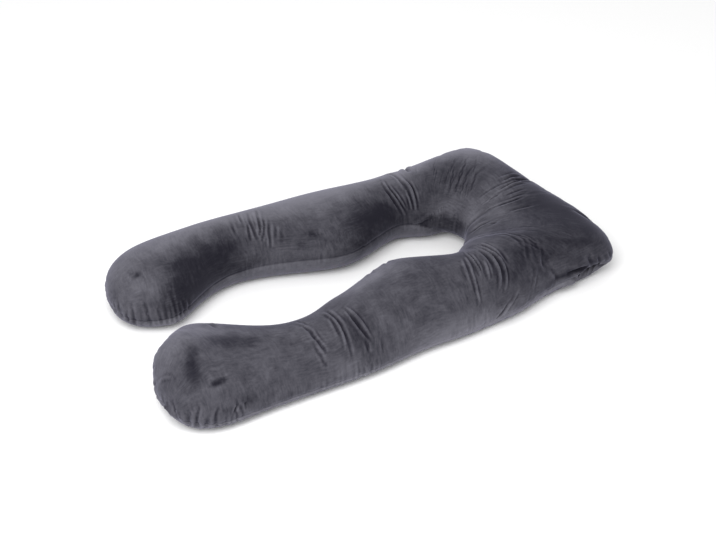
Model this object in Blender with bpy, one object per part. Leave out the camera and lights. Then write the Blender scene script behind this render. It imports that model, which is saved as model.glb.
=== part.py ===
"""U-shaped body pillow: one filled roll of plush cloth, bent round into a closed head end.

It lies on its back, +Z up.  +X runs to the closed head end, -Y is the side of the first arm and +Y that of
the second.  The origin is on the surface under the middle of the pillow's outer box.

The roll is described by sections from the first arm's foot, round the head, to the second arm's foot.  A
place on the cloth is given by two numbers: "along" counts sections (0 at the first arm's foot section, 11 at
the middle of the head, 22 at the second foot section, and one more at each rounded toe), and "girth" goes
round the roll in degrees (0 at the outer seam, 90 on the crown, 180 at the inner seam, 270 underneath).
"""

import math
from collections import namedtuple

import bmesh
import bpy
import numpy as np

# ---- Driving sizes, in metres -----------------------------------------------------------------------
TOP_FULLNESS = 2.1        # exponent of the top panel's arch: 2 is an ellipse, more is boxier
UNDER_FULLNESS = 2.4      # the underside spreads on the surface, so it is boxier
FOOT_FULLNESS = 2.1       # outline of the rounded feet, seen from above
SETTLE = 0.006            # how far the filling would sag below the surface: gives the flat it rests on
FIRST_TOE = 0.136         # how far each rounded foot reaches past its last section
SECOND_TOE = 0.120
SEAM_PINCH = 0.0035       # how far the joining seam draws the cloth in
SEAM_REACH = 0.007        # half width of that groove
SWELL_HEIGHT = 0.003      # swells of the uneven filling
FOLD_LIP = 1.2            # how strongly the cloth rises on both sides of a crease
FOLD_FALL = 0.7           # how fast a crease dies away sideways
FOLD_END = 0.7            # how soon it fades towards its ends: less is later
PUCKER_WIDTH = 0.007
PUCKER_UNDER = 0.4        # how far a pucker runs on under its seam, as a share of its climb
PUCKER_START = 0.3        # how full it is there, as a share of its length
PLUSH_COLOUR = (0.084, 0.082, 0.100, 1.0)   # dark blue-grey, linear

# ---- How finely the cloth is divided ----------------------------------------------------------------
OPEN_STEP = 0.030         # between rings where the cloth is smooth
CREASED_STEP = 0.0078     # between rings where it is creased
TOP_DIVISIONS = 15
UNDER_DIVISIONS = 7
SEAM_ROW_DEG = 4.0        # the row of points on each side of a seam
CREASE_MARGIN = 0.04      # sections of close rings past each crease
LINE_POINTS = 25          # points read along one crease
NUDGE_ALONG = 0.02        # small steps that find the outward direction
NUDGE_GIRTH = 1.0
READINGS = 4001           # fine readings along the roll, for spacing the rings
UPRIGHT_TRIES = 8

Section = namedtuple("Section", "place outer_x outer_y inner_x inner_y crown outer_seam inner_seam")

FIRST_ARM = (
    Section("foot",     -0.569, -0.373, -0.605, -0.059, 0.188, 0.034, 0.080),
    Section("shin",     -0.447, -0.374, -0.510, -0.041, 0.158, 0.034, 0.080),
    Section("knee",     -0.317, -0.373, -0.336, -0.146, 0.152, 0.032, 0.080),
    Section("belly",    -0.160, -0.372, -0.153, -0.128, 0.165, 0.032, 0.075),
    Section("waist",     0.012, -0.359,  0.035, -0.053, 0.171, 0.032, 0.075),
    Section("neck",      0.130, -0.360,  0.122, -0.059, 0.171, 0.033, 0.075),
    Section("shoulder",  0.245, -0.354,  0.230, -0.110, 0.174, 0.034, 0.070),
    Section("bend",      0.365, -0.341,  0.285, -0.092, 0.174, 0.038, 0.070),
    Section("cheek",     0.486, -0.311,  0.308, -0.075, 0.171, 0.042, 0.070),
    Section("corner",    0.625, -0.306,  0.322, -0.066, 0.164, 0.048, 0.070),
    Section("turn",      0.727, -0.240,  0.342, -0.041, 0.159, 0.056, 0.070),
)
HEAD = Section("head",   0.716,  0.002,  0.376,  0.003, 0.153, 0.066, 0.070)
SECOND_ARM = (
    Section("foot",     -0.533,  0.375, -0.563,  0.091, 0.173, 0.070, 0.050),
    Section("shin",     -0.457,  0.390, -0.489,  0.092, 0.173, 0.070, 0.060),
    Section("knee",     -0.315,  0.379, -0.324,  0.169, 0.174, 0.070, 0.065),
    Section("belly",    -0.147,  0.376, -0.124,  0.127, 0.172, 0.070, 0.075),
    Section("waist",     0.017,  0.379,  0.015,  0.078, 0.170, 0.070, 0.080),
    Section("neck",      0.132,  0.358,  0.123,  0.099, 0.171, 0.070, 0.085),
    Section("shoulder",  0.237,  0.343,  0.218,  0.132, 0.168, 0.070, 0.080),
    Section("bend",      0.358,  0.345,  0.274,  0.115, 0.173, 0.070, 0.078),
    Section("cheek",     0.484,  0.366,  0.318,  0.094, 0.168, 0.070, 0.076),
    Section("corner",    0.597,  0.370,  0.353,  0.087, 0.167, 0.070, 0.073),
    Section("turn",      0.667,  0.287,  0.378,  0.051, 0.159, 0.070, 0.070),
)
SECTIONS = np.array([row[1:] for row in (*FIRST_ARM, HEAD, *reversed(SECOND_ARM))])
LAST = len(SECTIONS) - 1

# Creases in the cloth, each from one place to another.  Depth and width are in metres, a negative depth is a
# raised fold, and bow bends the crease sideways at its middle, in sections.
Crease = namedtuple("Crease", "from_along from_girth to_along to_girth depth width bow")

FIRST_ARM_CREASES = (
    Crease(0.95, 138, 0.88, 108, 0.006, 0.008, 0.00),
    Crease(2.08, 88, 2.11, 40, 0.007, 0.008, 0.00),
    Crease(2.35, 100, 2.33, 52, 0.004, 0.008, 0.00),
    Crease(2.60, 120, 2.56, 18, 0.009, 0.008, -0.02),
    Crease(2.84, 98, 2.97, 22, 0.012, 0.009, 0.00),
    Crease(3.18, 80, 3.22, 34, 0.004, 0.008, 0.00),
    Crease(3.76, 156, 3.76, 124, 0.006, 0.009, 0.00),
    Crease(4.22, 158, 4.22, 128, 0.005, 0.008, 0.00),
)
HEAD_BEND_CREASES = (
    Crease(5.98, 106, 5.51, 66, 0.007, 0.007, 0.00),
    Crease(6.01, 102, 5.40, 16, 0.011, 0.008, -0.12),
    Crease(6.10, 92, 5.62, 34, 0.009, 0.007, 0.00),
    Crease(6.38, 88, 6.06, 58, 0.007, 0.007, 0.00),
    Crease(6.85, 104, 6.14, 38, 0.011, 0.008, 0.00),
    Crease(7.12, 106, 6.46, 44, 0.010, 0.008, 0.04),
    Crease(8.34, 92, 7.44, 60, 0.007, 0.011, 0.00),
    Crease(8.32, 82, 7.32, 43, 0.007, 0.011, 0.00),
    Crease(8.22, 70, 7.85, 54, 0.004, 0.009, 0.00),
    Crease(7.42, 39, 6.70, 2, 0.008, 0.009, 0.20),
    Crease(5.86, -4, 6.28, 16, 0.008, 0.008, 0.00),
)
HEAD_CREASES = (
    Crease(7.33, 22, 8.40, 49, 0.005, 0.012, 0.00),
    Crease(8.55, 44, 9.60, 33, 0.005, 0.012, 0.00),
    Crease(7.90, 8, 8.72, 0, 0.010, 0.010, 0.00),
    Crease(8.05, -16, 8.90, -30, -0.009, 0.009, 0.00),
    Crease(10.56, 112, 10.78, 84, 0.005, 0.009, 0.00),
    Crease(11.04, 105, 11.07, 74, 0.005, 0.009, 0.00),
    Crease(11.16, 96, 11.12, 56, 0.004, 0.009, 0.00),
    Crease(11.34, 90, 11.21, 36, 0.008, 0.009, 0.00),
    Crease(11.47, 76, 11.38, 32, 0.006, 0.009, 0.00),
)
SECOND_ARM_CREASES = (
    Crease(15.02, 32, 14.92, 76, 0.009, 0.009, 0.00),
    Crease(16.00, 100, 15.72, 150, 0.009, 0.008, 0.00),
    Crease(15.86, 88, 15.45, 160, 0.010, 0.008, 0.04),
    Crease(15.55, 60, 14.94, 150, 0.012, 0.009, 0.00),
    Crease(15.30, 116, 15.04, 154, 0.007, 0.008, 0.00),
    Crease(19.08, 94, 19.14, 126, 0.004, 0.008, 0.00),
    Crease(19.31, 82, 19.41, 132, 0.007, 0.008, 0.00),
    Crease(19.53, 90, 19.61, 134, 0.007, 0.008, 0.00),
    Crease(19.74, 98, 19.80, 128, 0.004, 0.008, 0.00),
)
OUTER_SIDE_CREASES = (
    Crease(9.95, 62, 9.88, 12, 0.007, 0.010, 0.00),
    Crease(12.08, 40, 12.20, 4, 0.007, 0.011, 0.00),
    Crease(12.85, 38, 12.95, 6, 0.006, 0.011, 0.00),
    Crease(13.30, 42, 13.42, 4, 0.008, 0.010, 0.00),
    Crease(13.66, 38, 13.72, 6, 0.006, 0.009, 0.00),
    Crease(16.90, 42, 16.94, 6, 0.007, 0.010, 0.00),
    Crease(18.35, 42, 18.30, 6, 0.007, 0.010, 0.00),
    Crease(20.10, 44, 20.14, 8, 0.006, 0.010, 0.00),
)
INNER_SIDE_CREASES = (
    Crease(8.60, 128, 8.80, 168, 0.006, 0.008, 0.00),
    Crease(11.00, 124, 11.00, 166, 0.005, 0.009, 0.00),
    Crease(13.20, 132, 13.05, 168, 0.006, 0.008, 0.00),
)
DIMPLES = (
    Crease(-0.14, 51, 0.04, 46, 0.005, 0.009, 0.00),
    Crease(22.34, 108, 22.10, 116, 0.006, 0.011, 0.00),
    Crease(18.46, 134, 18.68, 134, 0.004, 0.014, 0.00),
)
CREASES = (
    *FIRST_ARM_CREASES, *HEAD_BEND_CREASES, *HEAD_CREASES, *SECOND_ARM_CREASES,
    *OUTER_SIDE_CREASES, *INNER_SIDE_CREASES, *DIMPLES,
)

# Puckers where the gathered seam draws the cloth in: how far they climb the top panel from the seam.
Pucker = namedtuple("Pucker", "along seam climb lean depth")
PUCKERS = (
    Pucker(-0.80, 0, 40, 0.08, 0.006),
    Pucker(-0.56, 0, 34, 0.00, 0.007),
    Pucker(-0.44, 0, 26, 0.04, 0.006),
    Pucker(-0.22, 0, 32, 0.10, 0.007),
    Pucker(-0.08, 0, 24, -0.02, 0.005),
    Pucker(0.16, 0, 20, -0.10, 0.005),
    Pucker(-0.78, 180, -60, 0.05, 0.007),
    Pucker(-0.60, 180, -52, 0.04, 0.007),
    Pucker(-0.42, 180, -56, 0.05, 0.007),
    Pucker(-0.20, 180, -44, 0.04, 0.006),
    Pucker(0.10, 180, -26, 0.00, 0.005),
    Pucker(9.10, 0, 28, 0.06, 0.006),
    Pucker(9.60, 0, 24, 0.05, 0.006),
    Pucker(12.15, 0, 24, -0.05, 0.006),
    Pucker(12.60, 0, 30, -0.06, 0.006),
    Pucker(21.08, 180, -24, 0.08, 0.005),
    Pucker(21.37, 180, -36, 0.16, 0.006),
    Pucker(21.82, 180, -26, 0.06, 0.005),
    Pucker(22.17, 180, -32, 0.06, 0.006),
    Pucker(22.42, 180, -32, 0.02, 0.005),
    Pucker(22.65, 180, -46, 0.03, 0.006),
    Pucker(22.80, 180, -52, -0.04, 0.006),
    Pucker(21.95, 0, 26, 0.00, 0.005),
    Pucker(22.26, 0, 30, -0.02, 0.006),
    Pucker(22.50, 0, 36, -0.04, 0.006),
    Pucker(22.72, 0, 44, -0.04, 0.006),
)

# Swells of the filling: radians for each metre along X and Y, and where the wave starts.
Swell = namedtuple("Swell", "along_x along_y start")
SWELLS = (Swell(17.0, 9.0, 0.0), Swell(11.0, -23.0, 1.3), Swell(5.0, 29.0, 0.6))

# Where creases run aslant, the rings of points lean with them: sections for each degree round the roll.
Lean = namedtuple("Lean", "along slope")
RING_LEANS = (
    Lean(4.5, 0.0), Lean(5.7, 0.0080), Lean(7.4, 0.0090), Lean(9.0, 0.0),
    Lean(14.2, 0.0), Lean(15.1, -0.0065), Lean(15.8, -0.0060), Lean(16.8, 0.0),
)


def section_bends():
    """Second differences of the natural cubic spline through the table of sections."""
    count = len(SECTIONS)
    system = np.eye(count)
    for row in range(1, count - 1):
        system[row, row - 1:row + 2] = 1.0, 4.0, 1.0
    change = np.zeros_like(SECTIONS)
    change[1:-1] = 6.0 * (SECTIONS[2:] - 2.0 * SECTIONS[1:-1] + SECTIONS[:-2])
    return np.linalg.solve(system, change)


BENDS = section_bends()
# How the sections change, for each one gone along, at the first end of the roll and at the second.
END_RUNS = (
    SECTIONS[1] - SECTIONS[0] - BENDS[1] / 6.0,
    SECTIONS[-1] - SECTIONS[-2] + BENDS[-2] / 6.0,
)


def smooth_sections(along):
    """The sections read at any place along the roll, on a natural cubic spline through the table."""
    start = np.clip(along.astype(int), 0, LAST - 1)
    part = (along - start)[:, None]
    rest = 1.0 - part
    straight = rest * SECTIONS[start] + part * SECTIONS[start + 1]
    return straight + ((rest ** 3 - rest) * BENDS[start] + (part ** 3 - part) * BENDS[start + 1]) / 6.0


def superellipse(angle, fullness):
    """Cosine and sine of an angle, pushed out towards a rounded box."""
    cosine, sine = np.cos(angle), np.sin(angle)
    push = 2.0 / fullness
    return np.sign(cosine) * np.abs(cosine) ** push, np.abs(sine) ** push


def roll_surface(along, girth):
    """Points of the plain filled roll, for arrays of places along it and angles round it."""
    inside = np.clip(along, 0.0, LAST)
    sections = smooth_sections(inside)
    middle = (sections[:, 0:2] + sections[:, 2:4]) / 2.0
    # Past the last section at either foot the outline closes in a rounded toe, which starts the way the roll
    # ends, so that no edge shows where they meet.
    first_toe = along < 0.0
    past = np.abs(along - inside)
    toe_angle = (1.0 - past) * math.pi / 2.0
    reach, spread = superellipse(toe_angle, FOOT_FULLNESS)
    rise = np.sin(toe_angle)
    toe = np.where(first_toe, FIRST_TOE, SECOND_TOE)
    run = np.where(first_toe[:, None], *END_RUNS)
    pace = np.linalg.norm(run[:, 0:2] + run[:, 2:4], axis=1) / 2.0
    sections += run * (toe * math.pi / 2.0 / pace * (along - inside) * (1.0 - past) ** 2)[:, None]
    half = (sections[:, 0:2] - sections[:, 2:4]) / 2.0
    crown, outer_seam, inner_seam = sections[:, 4], sections[:, 5], sections[:, 6]
    forward = (run[:, 0:2] + run[:, 2:4]) / 2.0 / pace[:, None]
    forward *= (np.where(first_toe, -toe, toe) * reach)[:, None]
    # Round the roll: the top panel arches over, the under panel spreads on the surface.
    angle = np.radians(girth)
    over = np.sin(angle) >= 0.0
    top_across, top_lift = superellipse(angle, TOP_FULLNESS)
    under_across, under_lift = superellipse(angle, UNDER_FULLNESS)
    across = np.where(over, top_across, under_across)
    toe_seam = (outer_seam + inner_seam) / 2.0
    tilt = (outer_seam - inner_seam) / 2.0 * rise
    seam = toe_seam + tilt * across
    top = seam + (crown - seam) * rise * top_lift
    under = seam - (seam + SETTLE) * rise * under_lift
    plan = middle + half * (across * spread)[:, None] + forward
    return np.column_stack([plan, np.where(over, top, under)])


def outward_directions(along, girth):
    """Unit directions that point out of the cloth."""
    along = np.clip(along, -1.0 + NUDGE_ALONG, LAST + 1.0 - NUDGE_ALONG)
    ahead = roll_surface(along + NUDGE_ALONG / 2.0, girth) - roll_surface(along - NUDGE_ALONG / 2.0, girth)
    round_it = roll_surface(along, girth + NUDGE_GIRTH) - roll_surface(along, girth - NUDGE_GIRTH)
    outward = np.cross(ahead, round_it)
    return outward / np.linalg.norm(outward, axis=1)[:, None]


def line_push(points, line, fade, depth, width):
    """How far a soft fold moves each point out of the cloth: a trough with a raised lip on each side."""
    gap = np.linalg.norm(points[:, None, :] - line[None, :, :], axis=2)
    nearest = gap.argmin(axis=1)
    off = gap.min(axis=1) / width
    return -depth * fade[nearest] * (1.0 - FOLD_LIP * off ** 2) * np.exp(-FOLD_FALL * off ** 2)


def crease_push(points, crease):
    """A crease, which fades out towards both ends."""
    share = np.linspace(0.0, 1.0, LINE_POINTS)
    bowed = crease.bow * 4.0 * share * (1.0 - share)
    along = crease.from_along + (crease.to_along - crease.from_along) * share + bowed
    girth = crease.from_girth + (crease.to_girth - crease.from_girth) * share
    fade = np.sin(math.pi * share) ** FOLD_END
    return line_push(points, roll_surface(along, girth), fade, crease.depth, crease.width)


def pucker_push(points, pucker):
    """A pucker, which starts just under the seam and fades out as it climbs the top panel."""
    share = np.linspace(0.0, 1.0, LINE_POINTS)
    girth = pucker.seam + pucker.climb * (share * (1.0 + PUCKER_UNDER) - PUCKER_UNDER)
    line = roll_surface(pucker.along + pucker.lean * share, girth)
    fade = np.sin(math.pi * (PUCKER_START + (1.0 - PUCKER_START) * share)) ** FOLD_END
    return line_push(points, line, fade, pucker.depth, PUCKER_WIDTH)


def seam_push(along, points):
    """The groove of the seam that joins the top panel to the under panel, along both edges of the roll."""
    push = np.zeros(len(points))
    for seam in (0.0, 180.0):
        gap = np.linalg.norm(points - roll_surface(along, np.full(len(points), seam)), axis=1)
        push -= SEAM_PINCH * np.exp(-(gap / SEAM_REACH) ** 2)
    return push


def swell_push(points):
    """The filling is never quite even: long shallow swells along the roll."""
    waves = [
        np.sin(swell.along_x * points[:, 0] + swell.along_y * points[:, 1] + swell.start) for swell in SWELLS
    ]
    return SWELL_HEIGHT * np.mean(waves, axis=0)


def cloth_surface(along, girth):
    """Points of the finished pillow: the filled roll with its seam, swells, creases and puckers."""
    points = roll_surface(along, girth)
    push = seam_push(along, points) + swell_push(points)
    for crease in CREASES:
        push += crease_push(points, crease)
    for pucker in PUCKERS:
        push += pucker_push(points, pucker)
    points = points + outward_directions(along, girth) * push[:, None]
    points[:, 2] = np.maximum(points[:, 2], 0.0)
    return points


def ring_slope(along):
    """Sections that a ring leans for each degree round the roll."""
    return np.interp(along, [lean.along for lean in RING_LEANS], [lean.slope for lean in RING_LEANS])


def past_crown(girth):
    """Degrees past the crown towards the inner seam, the same on the under panel as above it."""
    turned = np.mod(girth, 360.0)
    return np.where(turned > 180.0, 360.0 - turned, turned) - 90.0


def upright(along, girth):
    """The place on the crown of the ring that passes through a place on the cloth."""
    crown = along
    for _ in range(UPRIGHT_TRIES):
        crown = along - ring_slope(crown) * past_crown(girth)
    return float(crown)


def ring_places():
    """Places along the roll of the rings of points: close together where the cloth is creased."""
    along = np.linspace(-1.0, LAST + 1.0, READINGS)
    sides = [roll_surface(along, np.full(READINGS, girth)) for girth in (60.0, 120.0)]
    length = np.mean([np.linalg.norm(np.diff(side, axis=0), axis=1) for side in sides], axis=0)
    step = np.full(len(length), OPEN_STEP)
    lines = [(crease.from_along, crease.from_girth, crease.to_along, crease.to_girth) for crease in CREASES]
    lines += [(pucker.along, pucker.seam, pucker.along + pucker.lean, pucker.seam) for pucker in PUCKERS]
    for from_along, from_girth, to_along, to_girth in lines:
        low, high = sorted((upright(from_along, from_girth), upright(to_along, to_girth)))
        step[(along[:-1] > low - CREASE_MARGIN) & (along[1:] < high + CREASE_MARGIN)] = CREASED_STEP
    count = np.concatenate([[0.0], np.cumsum(length / step)])
    rings = math.ceil(count[-1])
    return np.interp(np.linspace(0.0, count[-1], rings + 1), count, along)


def ring_girths():
    """Angles of the points round one ring, with a close row on each side of both seams."""
    top = np.linspace(SEAM_ROW_DEG, 180.0 - SEAM_ROW_DEG, TOP_DIVISIONS)
    under = np.linspace(180.0 + SEAM_ROW_DEG, 360.0 - SEAM_ROW_DEG, UNDER_DIVISIONS)
    return np.concatenate([[0.0], top, [180.0], under])


def plush_material():
    material = bpy.data.materials.new("plush")
    material.use_nodes = True
    shader = material.node_tree.nodes["Principled BSDF"]
    shader.inputs["Base Color"].default_value = PLUSH_COLOUR
    shader.inputs["Roughness"].default_value = 0.95
    shader.inputs["Metallic"].default_value = 0.0
    shader.inputs["Sheen Weight"].default_value = 0.4
    return material


def pillow_mesh():
    """One closed mesh: a ring of points at each place, and a point at the tip of each toe."""
    places, girths = ring_places(), ring_girths()
    inner_places = places[1:-1]
    along, girth = np.meshgrid(inner_places, girths, indexing="ij")
    along += ring_slope(along) * past_crown(girth)
    rings = cloth_surface(along.ravel(), girth.ravel())
    tips = roll_surface(places[[0, -1]], np.zeros(2))
    everything = np.vstack([rings, tips])
    centre = (everything.min(axis=0) + everything.max(axis=0)) / 2.0
    centre[2] = 0.0

    shape = bmesh.new()
    points = [shape.verts.new(point) for point in rings - centre]
    first_tip, second_tip = (shape.verts.new(point) for point in tips - centre)
    round_count = len(girths)
    grid = [points[start:start + round_count] for start in range(0, len(points), round_count)]
    for ring, following in zip(grid, grid[1:]):
        for here in range(round_count):
            beside = (here + 1) % round_count
            shape.faces.new((ring[here], following[here], following[beside], ring[beside]))
    for here in range(round_count):
        beside = (here + 1) % round_count
        shape.faces.new((first_tip, grid[0][here], grid[0][beside]))
        shape.faces.new((second_tip, grid[-1][beside], grid[-1][here]))
    bmesh.ops.triangulate(shape, faces=shape.faces, quad_method="SHORT_EDGE")
    bmesh.ops.recalc_face_normals(shape, faces=shape.faces)
    mesh = bpy.data.meshes.new("pillow")
    shape.to_mesh(mesh)
    shape.free()
    return mesh


def main():
    for leftover in list(bpy.data.objects):
        bpy.data.objects.remove(leftover)
    mesh = pillow_mesh()
    mesh.shade_smooth()
    mesh.materials.append(plush_material())
    pillow = bpy.data.objects.new("pillow", mesh)
    bpy.context.scene.collection.objects.link(pillow)


if __name__ == "__main__":
    main()
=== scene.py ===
"""U-shaped body pillow covered in dark grey plush, lying on its back on a white studio floor.

+X runs to the closed head end, -Y is the side of the first arm and +Y that of the second.  A place on the
cloth is given by two numbers: "along" counts sections (0 at the first arm's foot section, 11 at the middle of
the head, 22 at the second foot section, one more at each rounded toe), and "girth" goes round the roll in
degrees (0 at the outer seam, 90 on the crown, 180 at the inner seam, 270 underneath).
"""

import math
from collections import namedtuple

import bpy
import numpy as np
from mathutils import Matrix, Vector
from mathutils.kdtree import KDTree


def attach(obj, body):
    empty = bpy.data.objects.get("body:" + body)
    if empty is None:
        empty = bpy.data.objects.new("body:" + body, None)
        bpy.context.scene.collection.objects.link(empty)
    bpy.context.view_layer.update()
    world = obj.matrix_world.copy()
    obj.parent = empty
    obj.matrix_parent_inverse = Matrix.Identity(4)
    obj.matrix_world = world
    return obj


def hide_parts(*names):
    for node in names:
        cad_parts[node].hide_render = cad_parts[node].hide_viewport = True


bl_info = {
    "name": "U-shaped body pillow",
    "version": (1, 0, 0),
    "blender": (4, 5, 0),
    "location": "3D Viewport > Sidebar > Body pillow",
    "description": "Makes a U-shaped body pillow in a plush cover, and a soft studio to look at it in",
    "category": "Object",
}

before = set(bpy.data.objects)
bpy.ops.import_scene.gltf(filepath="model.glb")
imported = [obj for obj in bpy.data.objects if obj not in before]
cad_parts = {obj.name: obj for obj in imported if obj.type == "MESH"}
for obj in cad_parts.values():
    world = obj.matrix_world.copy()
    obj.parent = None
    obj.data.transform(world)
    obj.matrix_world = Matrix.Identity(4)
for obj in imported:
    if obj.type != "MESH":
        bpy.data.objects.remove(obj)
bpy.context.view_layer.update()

# ---- The filled roll, in metres, as the solid has it ------------------------------------------------
TOP_FULLNESS = 2.1        # exponent of the top panel's arch: 2 is an ellipse, more is boxier
UNDER_FULLNESS = 2.4      # the underside spreads on the surface, so it is boxier
FOOT_FULLNESS = 2.1       # outline of the rounded feet, seen from above
SETTLE = 0.006            # how far the filling would sag below the surface: gives the flat it rests on
FIRST_TOE = 0.136         # how far each rounded foot reaches past its last section
SECOND_TOE = 0.120
MIDDLE_SHIFT = (0.00688, 0.00753)   # from the middle that the sections are measured from to the box's middle

Section = namedtuple("Section", "place outer_x outer_y inner_x inner_y crown outer_seam inner_seam")

FIRST_ARM = (
    Section("foot",     -0.569, -0.373, -0.605, -0.059, 0.188, 0.034, 0.080),
    Section("shin",     -0.447, -0.374, -0.510, -0.041, 0.158, 0.034, 0.080),
    Section("knee",     -0.317, -0.373, -0.336, -0.146, 0.152, 0.032, 0.080),
    Section("belly",    -0.160, -0.372, -0.153, -0.128, 0.165, 0.032, 0.075),
    Section("waist",     0.012, -0.359,  0.035, -0.053, 0.171, 0.032, 0.075),
    Section("neck",      0.130, -0.360,  0.122, -0.059, 0.171, 0.033, 0.075),
    Section("shoulder",  0.245, -0.354,  0.230, -0.110, 0.174, 0.034, 0.070),
    Section("bend",      0.365, -0.341,  0.285, -0.092, 0.174, 0.038, 0.070),
    Section("cheek",     0.486, -0.311,  0.308, -0.075, 0.171, 0.042, 0.070),
    Section("corner",    0.625, -0.306,  0.322, -0.066, 0.164, 0.048, 0.070),
    Section("turn",      0.727, -0.240,  0.342, -0.041, 0.159, 0.056, 0.070),
)
HEAD = Section("head",   0.716,  0.002,  0.376,  0.003, 0.153, 0.066, 0.070)
SECOND_ARM = (
    Section("foot",     -0.533,  0.375, -0.563,  0.091, 0.173, 0.070, 0.050),
    Section("shin",     -0.457,  0.390, -0.489,  0.092, 0.173, 0.070, 0.060),
    Section("knee",     -0.315,  0.379, -0.324,  0.169, 0.174, 0.070, 0.065),
    Section("belly",    -0.147,  0.376, -0.124,  0.127, 0.172, 0.070, 0.075),
    Section("waist",     0.017,  0.379,  0.015,  0.078, 0.170, 0.070, 0.080),
    Section("neck",      0.132,  0.358,  0.123,  0.099, 0.171, 0.070, 0.085),
    Section("shoulder",  0.237,  0.343,  0.218,  0.132, 0.168, 0.070, 0.080),
    Section("bend",      0.358,  0.345,  0.274,  0.115, 0.173, 0.070, 0.078),
    Section("cheek",     0.484,  0.366,  0.318,  0.094, 0.168, 0.070, 0.076),
    Section("corner",    0.597,  0.370,  0.353,  0.087, 0.167, 0.070, 0.073),
    Section("turn",      0.667,  0.287,  0.378,  0.051, 0.159, 0.070, 0.070),
)
SECTIONS = np.array([row[1:] for row in (*FIRST_ARM, HEAD, *reversed(SECOND_ARM))])
LAST = len(SECTIONS) - 1

# ---- Folds in the cloth -----------------------------------------------------------------------------
# Depth and width are in metres, a negative depth is a raised fold, and bow bends the line sideways at its
# middle, in sections.
Crease = namedtuple("Crease", "from_along from_girth to_along to_girth depth width bow", defaults=(0.0,))

FIRST_ARM_CREASES = (
    (-0.56, 81, -0.74, 116, -0.003, 0.006),
    (0.3, 15, 0.25, 8, 0.006, 0.005),
    (0.1, 15, -0.02, 8, 0.005, 0.005),
    (0.95, 138, 0.88, 108, 0.006, 0.008),
    (2.19, 85, 2.25, 44, 0.0058, 0.007, -0.02),
    (2.26, 82, 2.3, 55, 0.0029, 0.006, -0.01),
    (2.17, 107, 2.25, 78, -0.0022, 0.006, 0.01),
    (2.08, 60, 2.18, 26, 0.0022, 0.007),
    (2.62, 92, 2.58, 58, 0.0043, 0.006),
    (2.6, 112, 2.57, 37, -0.0036, 0.005, 0.07),
    (2.67, 114, 2.66, 23, 0.0043, 0.006, 0.02),
    (2.72, 104, 2.79, 62, -0.0022, 0.006, -0.02),
    (2.92, 88, 3.05, 36, 0.0079, 0.006, -0.04),
    (2.93, 96, 3.06, 42, -0.005, 0.005),
    (2.95, 41, 2.97, 22, 0.0036, 0.007, 0.01),
    (3.23, 34, 3.22, 16, 0.0029, 0.006),
    (3.76, 156, 3.76, 124, 0.005, 0.009),
    (4.22, 158, 4.22, 128, 0.004, 0.008),
)
HEAD_BEND_CREASES = (
    (5.8, 92, 5.59, 58, -0.005, 0.005, -0.03),
    (5.97, 98, 5.65, 28, -0.007, 0.005, -0.07),
    (5.86, 88, 5.64, 44, 0.0035, 0.005, -0.02),
    (6.1, 105, 5.92, 58, -0.007, 0.005),
    (6.2, 98, 6.07, 72, -0.005, 0.005, -0.01),
    (6.3, 80, 6.09, 52, -0.005, 0.005),
    (6.21, 83, 6.02, 58, 0.003, 0.005, 0.01),
    (6.61, 102, 6.26, 36, -0.008, 0.006, 0.1),
    (6.54, 101, 6.25, 52, 0.0035, 0.006, 0.06),
    (6.81, 106, 6.38, 29, -0.007, 0.005, 0.14),
    (7.05, 108, 6.94, 80, -0.005, 0.005, 0.01),
    (7.06, 84, 6.86, 60, 0.0035, 0.006, -0.01),
    (8.27, 85, 7.55, 59, -0.003, 0.006),
    (8.04, 75, 7.41, 49, 0.0028, 0.006),
    (8.27, 78, 7.48, 44, -0.002, 0.006),
    (8.44, 73, 7.95, 49, -0.003, 0.006),
    (7.57, 37, 6.84, 1, -0.004, 0.006, 0.06),
    (6.83, 26, 6.41, 8, -0.004, 0.005, -0.04),
    (6.42, 14, 6.09, 1, 0.008, 0.005),
    (6.51, 15, 6.18, 1, -0.005, 0.005, -0.01),
    (7.25, 19, 7.0, 5, 0.005, 0.006),
)
HEAD_CREASES = (
    (7.33, 22, 8.4, 49, 0.002, 0.012),
    (8.55, 44, 9.6, 33, 0.003, 0.012),
    (8.0, 26, 8.09, 5, 0.003, 0.006),
    (8.3, 11, 8.84, 8, 0.011, 0.008),
    (8.44, 3, 8.6, -12, 0.006, 0.006, 0.01),
    (8.66, 4, 8.74, -14, 0.006, 0.006),
    (8.92, 22, 9.02, 2, 0.006, 0.007),
    (9.16, 18, 9.22, 0, 0.005, 0.007),
    (8.1, -10, 8.95, -22, -0.012, 0.009),
    (11.3, 92, 11.3, 38, 0.0075, 0.006, -0.01),
    (11.39, 88, 11.32, 50, -0.006, 0.005, 0.01),
    (11.42, 82, 11.4, 52, 0.003, 0.005, 0.01),
    (11.49, 85, 11.46, 53, -0.004, 0.005),
    (11.24, 95, 11.21, 60, -0.005, 0.005, 0.01),
    (11.09, 96, 11.06, 74, 0.003, 0.005),
    (10.98, 98, 10.96, 80, 0.003, 0.005),
    (10.96, 110, 10.88, 86, 0.004, 0.005, -0.02),
    (10.59, 106, 10.58, 86, 0.004, 0.005),
    (10.25, 155, 10.41, 128, 0.005, 0.006, 0.08),
    (10.02, 131, 10.39, 120, 0.004, 0.006),
    (13.16, 99, 13.33, 129, 0.0008, 0.007),
    (12.78, 104, 12.99, 137, 0.0008, 0.007),
    (12.47, 103, 12.57, 128, 0.0008, 0.007),
    (12.22, 91, 12.29, 120, 0.0008, 0.007),
    (11.98, 88, 11.92, 119, 0.0008, 0.007),
)
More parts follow.
